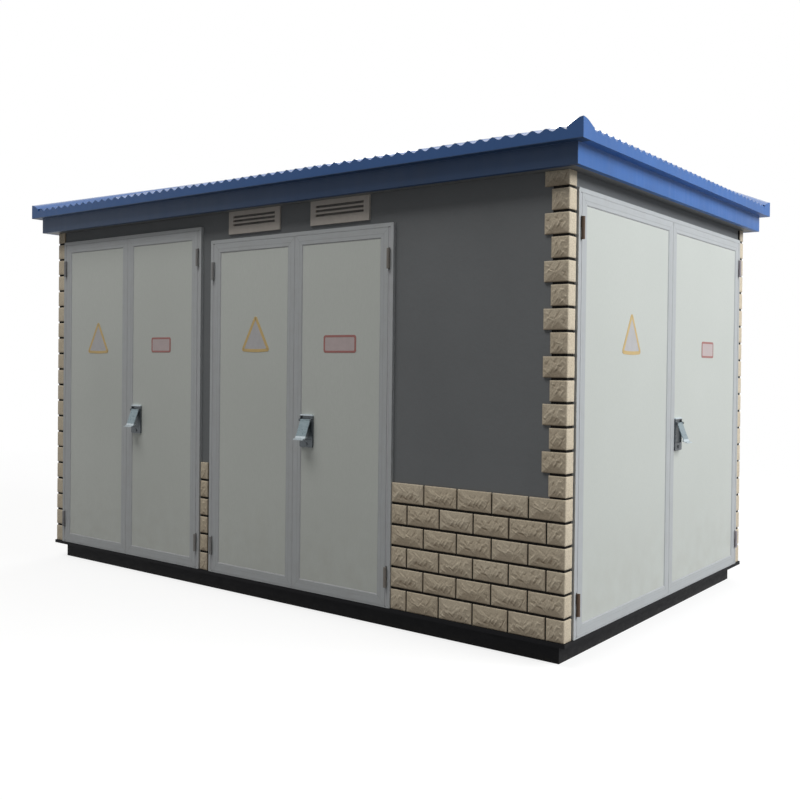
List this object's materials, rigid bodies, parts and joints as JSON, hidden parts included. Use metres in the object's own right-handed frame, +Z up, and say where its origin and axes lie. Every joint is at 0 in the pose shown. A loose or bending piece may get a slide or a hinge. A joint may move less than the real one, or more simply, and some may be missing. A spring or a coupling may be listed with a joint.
{
  "type": "compact substation",
  "caption": "Low kiosk with grey panel walls, brick-look corners, blue hipped roof, louvred vents and pairs of hinged doors with paddle latches.",
  "frame": {"origin": "middle of the footprint, on the ground", "axes": "+X along the long side towards the end with doors, +Z up; the long front with two pairs of doors faces -Y"},
  "size_m": [4.659, 2.937, 3.0654],
  "materials": {
    "black_paint": "semi-gloss black paint",
    "wall_paint": "matt grey coating",
    "brick": "rock-faced beige cladding with dark joints",
    "blue_paint": "satin blue coated sheet",
    "panel_paint": "fine-textured off-white coating",
    "aluminium": "satin extruded section",
    "vent_aluminium": "matt pale coated plate",
    "zinc": "bright zinc plate"
  },
  "bodies": {
    "enclosure": {"base_frame": "black_paint", "floor_plate": "black_paint", "left_wall": "wall_paint", "back_wall": "wall_paint", "front_wall": "wall_paint", "front_pier": "wall_paint", "header_1": "wall_paint", "header_2": "wall_paint", "end_header": "wall_paint", "ceiling": "wall_paint", "vent_1": "vent_aluminium", "vent_2": "vent_aluminium", "quoin_front_right": "brick", "quoin_back_right": "brick", "quoin_front_left": "brick", "quoin_back_left": "brick", "dado_front": "brick", "dado_pier": "brick", "dado_back": "brick", "dado_left": "brick", "eaves": "blue_paint", "roof_front": "blue_paint", "roof_back": "blue_paint", "roof_right": "blue_paint", "roof_left": "blue_paint", "ridge_cap": "blue_paint", "hip_cap_front_right": "blue_paint", "hip_cap_back_right": "blue_paint", "hip_cap_front_left": "blue_paint", "hip_cap_back_left": "blue_paint", "door_1_frame": "aluminium", "door_2_frame": "aluminium", "end_door_frame": "aluminium"},
    "door_1_left": {"door_1_left_frame": "aluminium", "door_1_left_panel": "panel_paint"},
    "door_1_right": {"door_1_right_frame": "aluminium", "door_1_right_panel": "panel_paint", "door_1_right_latch": "zinc"},
    "door_1_lever": {"door_1_right_lever": "zinc"},
    "door_2_left": {"door_2_left_frame": "aluminium", "door_2_left_panel": "panel_paint"},
    "door_2_right": {"door_2_right_frame": "aluminium", "door_2_right_panel": "panel_paint", "door_2_right_latch": "zinc"},
    "door_2_lever": {"door_2_right_lever": "zinc"},
    "end_door_left": {"end_door_left_frame": "aluminium", "end_door_left_panel": "panel_paint"},
    "end_door_right": {"end_door_right_frame": "aluminium", "end_door_right_panel": "panel_paint", "end_door_right_latch": "zinc"},
    "end_door_lever": {"end_door_right_lever": "zinc"}
  },
  "joints": [
    {"name": "door_1_left_hinge", "type": "hinge", "parent": "enclosure", "child": "door_1_left", "pos_m": [-2.0727, -1.346, 1.269], "axis": [0, 0, -1], "range_deg": [0, 110]},
    {"name": "door_1_right_hinge", "type": "hinge", "parent": "enclosure", "child": "door_1_right", "pos_m": [-0.5613, -1.346, 1.269], "axis": [0, 0, 1], "range_deg": [0, 90]},
    {"name": "door_1_lever_pivot", "type": "hinge", "parent": "door_1_right", "child": "door_1_lever", "pos_m": [-1.204, -1.3495, 1.1673], "axis": [-1, 0, 0], "range_deg": [-14, 45]},
    {"name": "door_2_left_hinge", "type": "hinge", "parent": "enclosure", "child": "door_2_left", "pos_m": [-0.4047, -1.346, 1.219], "axis": [0, 0, -1], "range_deg": [0, 90]},
    {"name": "door_2_right_hinge", "type": "hinge", "parent": "enclosure", "child": "door_2_right", "pos_m": [1.0637, -1.346, 1.219], "axis": [0, 0, 1], "range_deg": [0, 110]},
    {"name": "door_2_lever_pivot", "type": "hinge", "parent": "door_2_right", "child": "door_2_lever", "pos_m": [0.4425, -1.3495, 1.1673], "axis": [-1, 0, 0], "range_deg": [-14, 45]},
    {"name": "end_door_left_hinge", "type": "hinge", "parent": "enclosure", "child": "end_door_left", "pos_m": [2.207, -1.2117, 1.269], "axis": [0, 0, -1], "range_deg": [0, 110]},
    {"name": "end_door_right_hinge", "type": "hinge", "parent": "enclosure", "child": "end_door_right", "pos_m": [2.207, 1.2117, 1.269], "axis": [0, 0, 1], "range_deg": [0, 110]},
    {"name": "end_door_lever_pivot", "type": "hinge", "parent": "end_door_right", "child": "end_door_lever", "pos_m": [2.2105, 0.113, 1.1673], "axis": [0, -1, 0], "range_deg": [-14, 45]}
  ]
}
